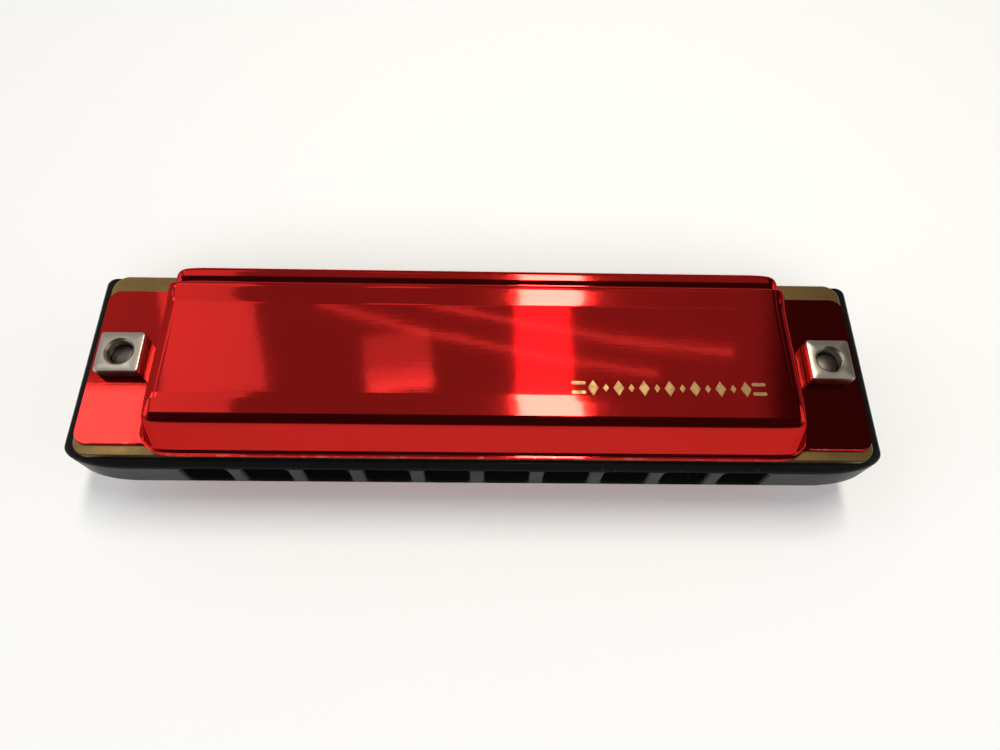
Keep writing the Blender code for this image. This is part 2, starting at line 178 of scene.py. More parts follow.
def comb_plastic():
    """Glossy black moulding with faint flow marks and a little dust."""
    f = Finish("comb_plastic", (0.012, 0.012, 0.013), 0.3, Specular_IOR_Level=0.05)
    dust = f.sum(f.specks(900.0, 0.16), f.span(f.grain(55.0), 0.5, 0.7, 0.0, 1.0), "MULTIPLY")
    flow = f.mix(f.grain(90.0, 4.0, 0.6, (0.3, 1.0, 1.0)), (0.004, 0.004, 0.0045), (0.009, 0.0085, 0.0085))
    f.set(f.shader, "Base Color", f.mix(f.sum(dust, 0.35, "MULTIPLY"), flow, (0.10, 0.095, 0.09)))
    matt = f.span(f.grain(140.0, 5.0), 0.3, 0.7, 0.20, 0.36)
    f.set(f.shader, "Roughness", f.sum(matt, f.sum(dust, 0.3, "MULTIPLY")))
    f.relief(f.sum(f.grain(1500.0, 3.0), f.grain(200.0, 2.0)), 0.02, 0.35)
    return f.material


def plate_brass():
    """Rolled brass sheet, dulled in patches, with fine marks along its length."""
    f = Finish("plate_brass", (0.5, 0.34, 0.13), 0.3, Metallic=1.0)
    patch = f.span(f.grain(120.0, 5.0, 0.65), 0.35, 0.7, 0.0, 1.0)
    rolled = f.grain(1800.0, 3.0, 0.6, (0.04, 1.0, 1.0))
    bright = f.mix(rolled, (0.26, 0.165, 0.060), (0.21, 0.132, 0.048))
    f.set(f.shader, "Base Color", f.mix(patch, bright, (0.135, 0.086, 0.034)))
    dull = f.span(patch, 0.0, 1.0, 0.26, 0.42)
    f.set(f.shader, "Roughness", f.sum(dull, f.sum(rolled, 0.08, "MULTIPLY")))
    f.relief(f.sum(rolled, f.grain(700.0)), 0.01, 0.4)
    return f.material


def reed_brass():
    """Bright milled brass with file marks across it near the tip and the root."""
    f = Finish("reed_brass", (0.62, 0.44, 0.17), 0.22, Metallic=1.0, Anisotropic=0.4)
    milled = f.grain(2600.0, 3.0, 0.6, (1.0, 0.03, 1.0))
    filed = f.grain(3200.0, 2.0, 0.6, (0.12, 1.0, 1.0))
    f.set(f.shader, "Base Color", f.mix(milled, (0.70, 0.50, 0.20), (0.56, 0.38, 0.14)))
    marks = f.sum(filed, f.edge(), "MULTIPLY")
    polish = f.span(milled, 0.3, 0.7, 0.16, 0.28)
    f.set(f.shader, "Roughness", f.sum(polish, f.sum(marks, 0.2, "MULTIPLY")))
    f.relief(f.sum(milled, marks), 0.01, 0.5)
    return f.material


def nickel_steel():
    """Warm nickel over steel, brushed on the flats, rubbed bright on the edges."""
    f = Finish("nickel_steel", (0.6, 0.54, 0.47), 0.28, Metallic=1.0)
    cloud = f.grain(350.0, 5.0, 0.6)
    brushed = f.grain(2400.0, 3.0, 0.6, (1.0, 0.08, 1.0))
    base = f.mix(cloud, (0.44, 0.39, 0.32), (0.31, 0.27, 0.22))
    f.set(f.shader, "Base Color", f.mix(f.edge(), base, (0.66, 0.60, 0.52)))
    dull = f.span(cloud, 0.3, 0.7, 0.22, 0.34)
    f.set(f.shader, "Roughness", f.sum(dull, f.sum(brushed, 0.08, "MULTIPLY")))
    f.relief(f.sum(brushed, cloud), 0.012, 0.5)
    return f.material


def steel_painted_bore_shade():
    """Oiled steel of the bolts, its dark colour partly painted shade for the bolt end sunk in the nut's
    bore; greyer on the worn edges of the head.
    """
    f = Finish("steel_painted_bore_shade", (0.1, 0.09, 0.08), 0.4, Metallic=1.0)
    cloud = f.grain(420.0, 5.0, 0.6)
    turned = f.grain(2000.0, 3.0, 0.6, (1.0, 1.0, 0.08))
    # painted shade: these dark base colours darken the bolt end so that the nut's bore looks shadowed
    base = f.mix(cloud, (0.15, 0.13, 0.115), (0.08, 0.07, 0.062))
    f.set(f.shader, "Base Color", f.mix(f.edge(), base, (0.36, 0.33, 0.30)))
    dull = f.span(cloud, 0.3, 0.7, 0.3, 0.45)
    f.set(f.shader, "Roughness", f.sum(dull, f.sum(turned, 0.08, "MULTIPLY")))
    f.relief(f.sum(turned, cloud), 0.012, 0.5)
    return f.material


def gold_print():
    """Thin gold foil, a little broken up where it is rubbed."""
    f = Finish("gold_print", (0.5, 0.3, 0.12), 0.35, Metallic=0.85)
    rubbed = f.span(f.grain(1400.0, 4.0), 0.4, 0.7, 0.0, 1.0)
    f.set(f.shader, "Base Color", f.mix(rubbed, (0.36, 0.215, 0.085), (0.25, 0.13, 0.05)))
    f.set(f.shader, "Roughness", f.span(rubbed, 0.0, 1.0, 0.30, 0.5))
    f.relief(f.grain(2200.0), 0.008, 0.4)
    return f.material


def pale_floor():
    """Matt paper, glowing evenly far away so that it runs into the pale room."""
    f = Finish("pale_floor", (0.8, 0.8, 0.8), 0.7)
    far = f.node("ShaderNodeVectorMath", {0: f.place}, operation="LENGTH").outputs["Value"]
    f.set(f.shader, "Emission Color", (1.0, 1.0, 1.0))
    f.set(f.shader, "Emission Strength", f.span(far, 0.25, 1.2, 0.0, 0.7))
    cloud = f.grain(6.0, 3.0)
    f.set(f.shader, "Base Color", f.mix(cloud, (0.90, 0.90, 0.895), (0.87, 0.87, 0.87)))
    f.set(f.shader, "Roughness", f.span(cloud, 0.3, 0.7, 0.62, 0.75))
    f.relief(f.grain(900.0), 0.02, 0.2)
    return f.material


RED = red_plating()
BLACK = comb_plastic()
PLATE = plate_brass()
REED = reed_brass()
NICKEL = nickel_steel()
STEEL_BORE_SHADE = steel_painted_bore_shade()
GOLD = gold_print()


# ---------------------------------------------------------------- meshes
def piece(name, verts, faces, finish, angle=35.0):
    """An object at the origin from points in millimetres, shaded smooth."""
    mesh = bpy.data.meshes.new(name)
    mesh.from_pydata([tuple(c * MM for c in v) for v in verts], [], faces)
    mesh.validate()
    bm = bmesh.new()
    bm.from_mesh(mesh)
    bmesh.ops.recalc_face_normals(bm, faces=bm.faces)
    bm.to_mesh(mesh)
    bm.free()
    item = bpy.data.objects.new(name, mesh)
    bpy.context.scene.collection.objects.link(item)
    if finish:
        mesh.materials.append(finish)
    soften(item, angle)
    return item


def soften(item, angle):
    item.data.shade_smooth()
    item.data.set_sharp_from_angle(angle=math.radians(angle))


def loops(count, rings, closed=False, caps=True):
    """Faces between rings of the same number of points; closed joins last to first."""
    faces = []
    spans = rings if closed else rings - 1
    for r in range(spans):
        low, high = r * count, ((r + 1) % rings) * count
        for i in range(count):
            j = (i + 1) % count
            faces.append((low + i, low + j, high + j, high + i))
    if caps and not closed:
        faces.append(tuple(reversed(range(count))))
        faces.append(tuple(range((rings - 1) * count, rings * count)))
    return faces


def stack(name, rings, finish, closed=False, angle=35.0):
    verts = [p for ring in rings for p in ring]
    return piece(name, verts, loops(len(rings[0]), len(rings), closed), finish, angle)


def settle(item, angle=None):
    """Works the modifiers in, so that the piece is a plain mesh."""
    bpy.context.view_layer.update()
    graph = bpy.context.evaluated_depsgraph_get()
    mesh = bpy.data.meshes.new_from_object(
        item.evaluated_get(graph), preserve_all_data_layers=True, depsgraph=graph
    )
    item.modifiers.clear()
    item.data = mesh
    mesh.name = item.name
    if angle:
        soften(item, angle)
    return item


def cut(item, *tools):
    """Cuts the tools out of the item and removes them."""
    for tool in tools:
        step = item.modifiers.new("cut", "BOOLEAN")
        step.operation = "DIFFERENCE"
        step.solver = "EXACT"
        step.object = tool
    settle(item)
    for tool in tools:
        bpy.data.objects.remove(tool, do_unlink=True)


def even_light(item, angle=35.0):
    """Keeps wide flats evenly lit beside their rounded edges."""
    soften(item, angle)
    step = item.modifiers.new("flats", "WEIGHTED_NORMAL")
    step.keep_sharp = True
    step.weight = 100
    settle(item)


def mark_edges(item, share):
    """Writes the piece's own edge attribute from a rule on points in millimetres."""
    values = [share(v.co / MM) for v in item.data.vertices]
    layer = item.data.attributes.new("edge", "FLOAT", "POINT")
    layer.data.foreach_set("value", values)


def corner(cx, cy, rx, ry, start, steps):
    turns = np.linspace(start, start + 0.5 * math.pi, steps + 1)
    return [(cx + rx * math.cos(a), cy + ry * math.sin(a)) for a in turns]


def four_corners(low, high, front, back, steps):
    """Plan outline with its front and back corners rounded as (x radius, y radius)."""
    q = 0.5 * math.pi
    points = corner(high.x - front[0], low.y + front[1], *front, -q, steps)
    points += corner(high.x - back[0], high.y - back[1], *back, 0.0, steps)
    points += corner(low.x + back[0], high.y - back[1], *back, q, steps)
    points += corner(low.x + front[0], low.y + front[1], *front, 2 * q, steps)
    return points


def upright_drill(x, y, radius, low, high, sides=24):
    turns = np.linspace(0.0, 2.0 * math.pi, sides, endpoint=False)
    ring = [(x + radius * math.cos(a), y + radius * math.sin(a)) for a in turns]
    return stack("drill", [[(*p, z) for p in ring] for z in (low, high)], None)


def ride(item, slot, *nodes):
    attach(item, ROOT)
    if nodes:
        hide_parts(*nodes)
    return item


def hole_x(number):
    low, high = low_high(f"draw_reed_{number}")
    return 0.5 * (low.x + high.x)


NUMBERS = range(1, HOLES + 1)


# ---------------------------------------------------------------- comb
COMB_FRONT_CORNER = (8.0, 2.8)
COMB_BACK_CORNER = (1.0, 1.0)
LIP_ROUND = 1.0
BACK_ROUND = 0.3
HOLE_HALF = 2.75
HOLE_Z = (7.75, 12.25)
HOLE_CORNER = 0.55
CHAMBER_FRONT = -11.0
CHAMBER_BACK = (9.8, 4.8)


def rounded_box(low_u, high_u, low_v, high_v, r, steps=5):
    low, high = Vector((low_u, low_v, 0.0)), Vector((high_u, high_v, 0.0))
    return four_corners(low, high, (r, r), (r, r), steps)


def comb_blank():
    rings = []
    steps = 8
    for step in range(steps + 1):
        a = 0.5 * math.pi * step / steps
        inset = LIP_ROUND * (1.0 - math.sin(a))
        rise = LIP_ROUND * (1.0 - math.cos(a))
        low = Vector((COMB_LOW.x + inset, COMB_LOW.y + inset, 0.0))
        high = Vector((COMB_HIGH.x - inset, COMB_HIGH.y - inset * BACK_ROUND, 0.0))
        front = (COMB_FRONT_CORNER[0] - inset, COMB_FRONT_CORNER[1] - 0.5 * inset)
        plan = four_corners(low, high, front, COMB_BACK_CORNER, 16)
        rings.append([(x, y, COMB_LOW.z + rise) for x, y in plan])
    total = COMB_LOW.z + COMB_HIGH.z
    rings += [[(x, y, total - z) for x, y, z in ring] for ring in reversed(rings)]
    return stack("comb_body", rings, BLACK)


def mouth_tools():
    """Square mouth holes with rounded corners, eased where they meet the lips."""
    verts = []
    faces = []
    face_y = COMB_LOW.y
    depths = [(-1.0, 0.42), (-0.02, 0.42), (0.06, 0.24), (0.16, 0.11), (0.30, 0.03), (0.45, 0.0)]
    depths.append((CHAMBER_FRONT - face_y + 1.0, 0.0))
    for number in NUMBERS:
        x = hole_x(number)
        rings = []
        for depth, ease in depths:
            plan = rounded_box(
                x - HOLE_HALF - ease, x + HOLE_HALF + ease,
                HOLE_Z[0] - ease, HOLE_Z[1] + ease, HOLE_CORNER + ease,
            )
            rings.append([(u, face_y + depth, v) for u, v in plan])
        start = len(verts)
        count = len(rings[0])
        verts += [p for ring in rings for p in ring]
        faces += [tuple(i + start for i in face) for face in loops(count, len(rings))]
    return piece("mouth_tools", verts, faces, None)


def chamber_tools():
    """Full-height chambers behind the mouth holes, shorter towards the high notes."""
    verts = []
    faces = []
    for number in NUMBERS:
        x = hole_x(number)
        back = CHAMBER_BACK[0] + (CHAMBER_BACK[1] - CHAMBER_BACK[0]) * (number - 1) / (HOLES - 1)
        plan = rounded_box(x - HOLE_HALF, x + HOLE_HALF, CHAMBER_FRONT, back, 0.6)
        start = len(verts)
        for z in (COMB_LOW.z - 1.0, COMB_HIGH.z + 1.0):
            verts += [(u, v, z) for u, v in plan]
        faces += [tuple(i + start for i in face) for face in loops(len(plan), 2)]
    return piece("chamber_tools", verts, faces, None)


def make_comb():
    comb = comb_blank()
    cut(comb, chamber_tools())
    drills = [
        upright_drill(s * BOLT_SPOT.x, BOLT_SPOT.y, BOLT_HOLE, COMB_LOW.z - 1, COMB_HIGH.z + 1)
        for s in (-1, 1)
    ]
    cut(comb, mouth_tools(), *drills)
    even_light(comb, 40.0)
    ride(comb, "comb_plastic", "comb")


# ---------------------------------------------------------------- plates and reeds
PLATE_CORNER = (2.0, 2.0)
PLATE_EDGE = 0.10
SLOT_AIR = 0.05
TIP_AIR = 0.10
PAD_HALF = 1.45
PAD_LENGTH = 3.4
RIVET_FROM_ROOT = 1.9
RIVET_HOLE = 0.6
NAIL_HOLE = 0.5
BOLT_HOLE = 1.6
REED_EASE = 0.03
TONGUE_STEPS = 26


def reed_facts(side, number):
    """Centre x, root y, tip y and half width of a reed's tongue."""
    low, high = low_high(f"{side}_reed_{number}")
    root, tip = (low.y, high.y) if side == "draw" else (high.y, low.y)
    return 0.5 * (low.x + high.x), root, tip, 0.5 * (high.x - low.x)


def make_plate(side, low, high):
    rings = []
    for inset, z in ((PLATE_EDGE, low.z), (0.0, low.z + PLATE_EDGE),
                     (0.0, high.z - PLATE_EDGE), (PLATE_EDGE, high.z)):
        shift = Vector((inset, inset, 0.0))
        plan = four_corners(low + shift, high - shift, PLATE_CORNER, PLATE_CORNER, 10)
        rings.append([(x, y, z) for x, y in plan])
    plate = stack(f"{side}_plate_sheet", rings, PLATE)
    verts = []
    faces = []

    def tool(plan):
        start = len(verts)
        for z in (low.z - 1.0, high.z + 1.0):
            verts.extend((u, v, z) for u, v in plan)
        faces.extend(tuple(i + start for i in face) for face in loops(len(plan), 2))

    def drill(x, y, radius, sides):
        turns = np.linspace(0.0, 2.0 * math.pi, sides, endpoint=False)
        tool([(x + radius * math.cos(a), y + radius * math.sin(a)) for a in turns])

    for number in NUMBERS:
        x, root, tip, half = reed_facts(side, number)
        ahead = math.copysign(1.0, tip - root)
        ends = sorted((root, tip + ahead * TIP_AIR))
        tool(rounded_box(x - half - SLOT_AIR, x + half + SLOT_AIR, *ends, 0.02, 1))
        drill(x, root - ahead * RIVET_FROM_ROOT, RIVET_HOLE, 12)
    for spot in NAIL_SPOTS:
        drill(spot.x, spot.y, NAIL_HOLE, 12)
    for s in (-1, 1):
        drill(s * BOLT_SPOT.x, BOLT_SPOT.y, BOLT_HOLE, 24)
    cut(plate, piece("plate_tools", verts, faces, None))
    even_light(plate, 30.0)
    ride(plate, "plate_brass", f"{side}_reed_plate")


def eased(first, last, t):
    return first + (last - first) * (t * t * (3 - 2 * t))


def reed_thickness(share):
    """Share of the full thickness along a tongue: left full at root and tip."""
    if share < 0.12:
        return 1.0
    if share < 0.40:
        return eased(1.0, 0.65, (share - 0.12) / 0.28)
    if share < 0.82:
        return 0.65
    return eased(0.65, 0.95, (share - 0.82) / 0.18)


def make_reed(side, number):
    """One strip of brass: riveted pad, shoulders, and the tongue that swings."""
    x, root, tip, half = reed_facts(side, number)
    ahead = math.copysign(1.0, tip - root)
    low, high = low_high(f"{side}_reed_{number}")
    thick = high.z - low.z
    length = abs(tip - root)
    heel = -FIT_GAP - PAD_LENGTH
    stations = [(heel, PAD_HALF - 0.3, 0.9), (heel + 0.1, PAD_HALF - 0.06, 1.0)]
    stations += [(heel + 0.35, PAD_HALF, 1.0), (-0.60, PAD_HALF, 1.0), (-0.32, PAD_HALF - 0.08, 1.0)]
    stations += [(-0.12, half + 0.05, 1.0), (-0.04, half, 1.0)]
    for step in range(TONGUE_STEPS + 1):
        share = step / TONGUE_STEPS
        stations.append((0.03 + share * (length - 0.03), half, reed_thickness(share)))
    rings = []
    for reach, wide, tall in stations:
        y = root + ahead * reach
        top = low.z + tall * thick
        ease = REED_EASE
        ring = [(-wide + ease, low.z), (wide - ease, low.z), (wide, low.z + ease), (wide, top - ease)]
        ring += [(wide - ease, top), (-wide + ease, top), (-wide, top - ease), (-wide, low.z + ease)]
        rings.append([(x + u, y, z) for u, z in ring])
    reed = stack(f"{side}_reed_strip_{number}", rings, REED, angle=30.0)

    def worked(p):
        reach = ahead * (p.y - root) / length
        return max(0.0, 1.0 - abs(reach - 0.9) / 0.12, 1.0 - abs(reach - 0.12) / 0.12)

    mark_edges(reed, worked)
    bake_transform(reed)
    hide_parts(f"{side}_reed_{number}", f"{side}_reed_pad_{number}")


# ---------------------------------------------------------------- repeated small pieces
class Steps:
    """A geometry tree with named inputs, ending in real mesh with its finish."""

    def __init__(self, name, sizes):
        self.tree = bpy.data.node_groups.new(name, "GeometryNodeTree")
        face = self.tree.interface
        face.new_socket("Geometry", in_out="INPUT", socket_type="NodeSocketGeometry")
        for label, value in sizes.items():
            kind = "NodeSocketInt" if isinstance(value, int) else "NodeSocketFloat"
            face.new_socket(label, in_out="INPUT", socket_type=kind).default_value = value
        face.new_socket("Geometry", in_out="OUTPUT", socket_type="NodeSocketGeometry")
        self.given = self.tree.nodes.new("NodeGroupInput").outputs
        self.out = self.tree.nodes.new("NodeGroupOutput").inputs["Geometry"]

    def node(self, kind, inputs=None, **settings):
        made = self.tree.nodes.new(kind)
        for label, value in settings.items():
            setattr(made, label, value)
        for label, value in (inputs or {}).items():
            for source in value if isinstance(value, list) else [value]:
                if isinstance(source, bpy.types.NodeSocket):
                    self.tree.links.new(source, made.inputs[label])
                else:
                    made.inputs[label].default_value = source
        return made.outputs[0]

    def math(self, operation, first, second):
        return self.node("ShaderNodeMath", {0: first, 1: second}, operation=operation)

    def lift(self, geometry, height):
        place = self.node("ShaderNodeCombineXYZ", {"Z": height})
        return self.node("GeometryNodeTransform", {"Geometry": geometry, "Translation": place})

    def turned(self, sides, levels):
        """Stacked cones, each from one (radius, height) pair of sockets to the next."""
        parts = []
        for (r0, z0), (r1, z1) in zip(levels, levels[1:]):
            deep = self.math("SUBTRACT", z1, z0)
            cone = self.node(
                "GeometryNodeMeshCone",
                {"Vertices": sides, "Radius Top": r1, "Radius Bottom": r0, "Depth": deep},
            )
            parts.append(self.lift(cone, z0))
        return self.node("GeometryNodeJoinGeometry", {"Geometry": parts})

    def finish(self, points, instance, material, **extra):
        placed = self.node(
            "GeometryNodeInstanceOnPoints", {"Points": points, "Instance": instance, **extra}
        )
        real = self.node("GeometryNodeRealizeInstances", {"Geometry": placed})
        dressed = self.node("GeometryNodeSetMaterial", {"Geometry": real, "Material": material})
        self.tree.links.new(dressed, self.out)


def grow(name, steps, sizes, spots, angle=35.0):
    """Runs a tree on a set of spots, given in millimetres, and keeps a plain mesh."""
    mesh = bpy.data.meshes.new(name)
    mesh.from_pydata([tuple(c * MM for c in spot) for spot in spots], [], [])
    item = bpy.data.objects.new(name, mesh)
    bpy.context.scene.collection.objects.link(item)
    run = item.modifiers.new("steps", "NODES")
    run.node_group = steps.tree
    for socket in steps.tree.interface.items_tree:
        if socket.item_type == "SOCKET" and socket.in_out == "INPUT" and socket.name in sizes:
            run[socket.identifier] = sizes[socket.name]
    return settle(item, angle)


def headed_pin_steps(name, material):
    """Domed head above the spot, shank below it, and a spread tail under that."""
    sizes = {
        "Head Radius": 0.78 * MM, "Head Rise": 0.35 * MM, "Shank Radius": 0.55 * MM,
        "Reach": 1.0 * MM, "Tail Radius": 0.78 * MM, "Tail Drop": 0.2 * MM, "Sides": 16,
    }
    s = Steps(name, sizes)
    g = s.given
    head, rise, sides = g["Head Radius"], g["Head Rise"], g["Sides"]
    levels = [(head, 0.0)]
    for share_r, share_z in ((1.0, 0.30), (0.93, 0.55), (0.76, 0.78), (0.50, 0.93), (0.20, 1.0)):
        levels.append((s.math("MULTIPLY", head, share_r), s.math("MULTIPLY", rise, share_z)))
    under = s.math("MULTIPLY", g["Reach"], -1.0)
    end = s.math("SUBTRACT", under, g["Tail Drop"])
    shank = [(g["Shank Radius"], under), (g["Shank Radius"], 0.0)]
    narrow = s.math("MULTIPLY", g["Tail Radius"], 0.6)
    tail = [(narrow, end), (g["Tail Radius"], s.math("ADD", end, s.math("MULTIPLY", g["Tail Drop"], 0.5)))]
    tail.append((g["Tail Radius"], under))
    body = s.node(
        "GeometryNodeJoinGeometry",
        {"Geometry": [s.turned(sides, levels), s.turned(sides, shank), s.turned(sides, tail)]},
    )
    s.finish(g["Geometry"], body, material)
    return s


def make_rivets():
    steps = headed_pin_steps("rivet_steps", REED)
    for side in ("draw", "blow"):
        top = low_high(f"{side}_reed_1")[1].z
        plate = DRAW_PLATE_LOW if side == "draw" else BLOW_PLATE_LOW
        spots = []
        for number in NUMBERS:
            x, root, tip, _ = reed_facts(side, number)
            spots.append((x, root - math.copysign(RIVET_FROM_ROOT, tip - root), top))
        sizes = {"Reach": (top - plate.z + FIT_GAP) * MM}
        rivets = grow(f"{side}_reed_rivets", steps, sizes, spots)
        mark_edges(rivets, lambda p: 0.0)
        ride(rivets, "reed_brass")


def make_nails():
    steps = headed_pin_steps("nail_steps", REED)
    drop = low_high("draw_plate_nail_1")
    for side, face, sign in (("draw", DRAW_PLATE_HIGH.z, 1), ("blow", BLOW_PLATE_LOW.z, -1)):
        sizes = {
            "Head Radius": 0.85 * MM, "Head Rise": (drop[1].z - DRAW_PLATE_HIGH.z - FIT_GAP) * MM,
            "Shank Radius": 0.45 * MM, "Reach": (DRAW_PLATE_HIGH.z - drop[0].z - 0.2) * MM,
            "Tail Radius": 0.45 * MM, "Tail Drop": 0.2 * MM,
        }
        spots = [(p.x, p.y, 0.0) for p in NAIL_SPOTS]
        nails = grow(f"{side}_plate_nails", steps, sizes, spots)
        for v in nails.data.vertices:
            v.co.z = (face + sign * FIT_GAP) * MM + sign * v.co.z
        if sign < 0:
            nails.data.flip_normals()
        mark_edges(nails, lambda p: 0.0)
        ride(nails, "reed_brass", *[f"{side}_plate_nail_{n}" for n in range(1, 6)])


# ---------------------------------------------------------------- covers
# Section of the pressing as (y, z): flat lip, front slope, front ridge, panel,
# rear ridge, crease, rolled rim.
SECTION = (
    (-12.45, 14.70), (-12.20, 14.71), (-11.98, 14.84), (-11.80, 15.10),
    (-10.35, 18.25), (-10.12, 18.70), (-9.80, 19.16), (-9.50, 19.47),
    (-9.20, 19.66), (-8.60, 19.79), (-7.80, 19.92), (-7.20, 20.00),
    (-6.50, 20.00), (6.00, 19.60), (6.50, 19.66), (7.50, 19.88),
    (8.15, 20.00), (8.60, 20.00), (8.90, 19.74), (9.18, 19.10),
    (9.45, 18.30), (9.72, 17.80), (10.10, 17.70), (10.75, 18.00),
    (11.25, 18.14), (11.65, 18.20), (12.03, 18.05), (12.27, 17.68),
    (12.25, 17.30),
)
FRONT_RIDGE_Y = -9.20
REAR_RIDGE_Y = 8.60
PANEL_FRONT = (-6.50, 20.00)
PANEL_BACK = (6.00, 19.60)
SHEET = 0.45
LIP_BELLY = 0.12
FLANGE_FRONT = -11.0
FLANGE_BACK = 10.4
FLANGE_CORNER = 1.5
# End of the pressing: x, share of the height, share of the depth.
END = (
    (36.00, 1.000, 1.00), (37.60, 1.000, 0.95), (38.50, 0.985, 0.87),
    (39.00, 0.930, 0.76), (39.40, 0.790, 0.60), (39.75, 0.540, 0.42),
    (40.10, 0.240, 0.21), (40.40, 0.060, 0.06), (40.85, 0.000, 0.00),
)
WAVE = 0.004
STRAIGHT = 3.0


def flowing(points, step):
    """A smooth line through the points; its long spans stay straight."""
    p = np.array(points, float)
    gaps = np.linalg.norm(np.diff(p, axis=0), axis=1)
    pace = np.zeros_like(p)
    speed = np.diff(p, axis=0) / gaps[:, None]
    pace[0], pace[-1] = speed[0], speed[-1]
    for i in range(1, len(p) - 1):
        share = gaps[i - 1] / (gaps[i - 1] + gaps[i])
        if max(gaps[i - 1], gaps[i]) > STRAIGHT:
            share = float(gaps[i] > gaps[i - 1])
        pace[i] = speed[i - 1] * (1.0 - share) + speed[i] * share
    out = [p[0]]
    for i, gap in enumerate(gaps):
        count = max(2, round(gap / step))
        for n in range(1, count + 1):
            t = n / count
            a = 2 * t**3 - 3 * t**2 + 1
            b = t**3 - 2 * t**2 + t
            c = -2 * t**3 + 3 * t**2
            d = t**3 - t**2
            out.append(a * p[i] + b * gap * pace[i] + c * p[i + 1] + d * gap * pace[i + 1])
    return np.array(out)


def moved_in(line, distance):
    """The line shifted to its right-hand side, for the inside of the sheet."""
    along = np.gradient(line, axis=0)
    along /= np.linalg.norm(along, axis=1)[:, None]
    return line + distance * np.stack([along[:, 1], -along[:, 0]], axis=1)


def flange_places(line):
    """Where each point of the section lies on the flat flange."""
    y = line[:, 0]
    places = y.copy()
    front = int(np.argmax(y >= FRONT_RIDGE_Y))
    rear = int(np.argmax(y >= REAR_RIDGE_Y))
    share = (y[:front] - y[0]) / (FRONT_RIDGE_Y - y[0])
    places[:front] = FLANGE_FRONT + share * (FRONT_RIDGE_Y - FLANGE_FRONT)
    runs = np.concatenate([[0.0], np.cumsum(np.linalg.norm(np.diff(line[rear:], axis=0), axis=1))])
    places[rear:] = y[rear] + runs / runs[-1] * (FLANGE_BACK - y[rear])
    return places


def cover_stations():
    """Rows across the cover: x outside, x inside, height, depth, corner inset."""
    rows = []
    for x, height, depth in flowing(END, 0.12):
        inward = SHEET * min(1.0, max(0.0, (x - END[0][0]) / 0.8))
        rows.append((x, x - inward, max(0.0, min(1.0, height)), max(0.0, min(1.0, depth)), 0.0))
    flat = 0.5 * (COVER_HIGH.x - COVER_LOW.x) - FLANGE_CORNER
    for x in np.linspace(END[-1][0] + 0.5, flat - 0.3, 6):
        rows.append((x, x, 0.0, 0.0, 0.0))
    for step in range(9):
        a = 0.5 * math.pi * step / 8
        inset = FLANGE_CORNER * (1.0 - math.cos(a))
        x = flat + FLANGE_CORNER * math.sin(a)
        rows.append((x, x, 0.0, 0.0, inset))
    middle = [(x, x, 1.0, 1.0, 0.0) for x in np.linspace(-END[0][0], END[0][0], 42)[1:-1]]
    return [(-a, -b, h, d, c) for a, b, h, d, c in reversed(rows)] + middle + rows


def cover_rows(line, flat, side, places, stations):
    """Points of one skin of the sheet, row by row."""
    centre = 0.5 * (FLANGE_FRONT + FLANGE_BACK)
    rows = []
    for row in stations:
        x, height, depth, inset = row[side], row[2], row[3], row[4]
        squeeze = 1.0 - 2.0 * inset / (FLANGE_BACK - FLANGE_FRONT)
        rest = centre + (places - centre) * squeeze
        y = rest + depth * (line[:, 0] - rest)
        z = flat + height * (line[:, 1] - flat)
        rows.append(np.stack([np.full_like(y, x), y, z], axis=1))
    return np.array(rows)


def sheet_wave(points):
    """Leaves the wide panel very slightly uneven, as a drawn sheet is."""
    for row in points:
        for p in row:
            share = max(0.0, 1.0 - (p[1] / 6.2) ** 4) * max(0.0, 1.0 - (p[0] / 38.0) ** 8)
            if share > 0.0 and p[2] > 19.0:
                p[2] += WAVE * share * noise.noise(Vector((p[0] / 16.0, p[1] / 9.0, 3.7)))


